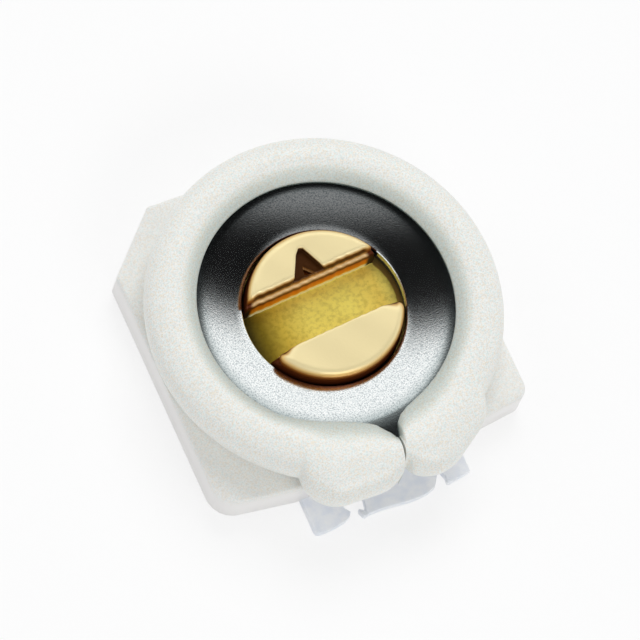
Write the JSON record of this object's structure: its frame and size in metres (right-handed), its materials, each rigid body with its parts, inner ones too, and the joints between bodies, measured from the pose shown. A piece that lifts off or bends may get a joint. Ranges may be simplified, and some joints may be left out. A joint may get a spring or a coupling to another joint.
{
  "type": "trimmer capacitor",
  "caption": "Surface-mount ceramic trimmer capacitor: moulded case with a split retaining ring, dished metal cover plate, slotted brass driver that turns, and two sheet terminals.",
  "frame": {"origin": "on the driver's axis, in the plane of the terminal soles, which is also the bottom centre of the bounding box", "axes": "+Z along the driver's axis, away from the board; -Y towards the split of the ring and the three-finger terminal; +Y towards the rear tab"},
  "size_m": [0.004, 0.0044, 0.0012],
  "materials": {
    "case_plastic": "moulded, fine grain",
    "satin_steel": "satin, fine blasted grain",
    "brass": "turned and plated, bright",
    "seal_rubber": "matt",
    "ceramic": "lapped ceramic",
    "silver_film": "fired silver, matt",
    "tinned_sheet": "tin plated, satin",
    "spring_metal": "bare spring sheet"
  },
  "bodies": {
    "housing": {"case": "case_plastic", "cover_plate": "satin_steel", "stator_terminal": "tinned_sheet", "rotor_terminal": "tinned_sheet", "spring_washer": "spring_metal"},
    "rotor": {"driver": "brass", "seal_ring": "seal_rubber", "rotor_disc": "ceramic", "rotor_electrode": "silver_film"}
  },
  "joints": [
    {"name": "driver_turn", "type": "hinge", "parent": "housing", "child": "rotor", "pos_m": [0, 0, 0.0006], "axis": [0, 0, 1], "continuous": true}
  ]
}
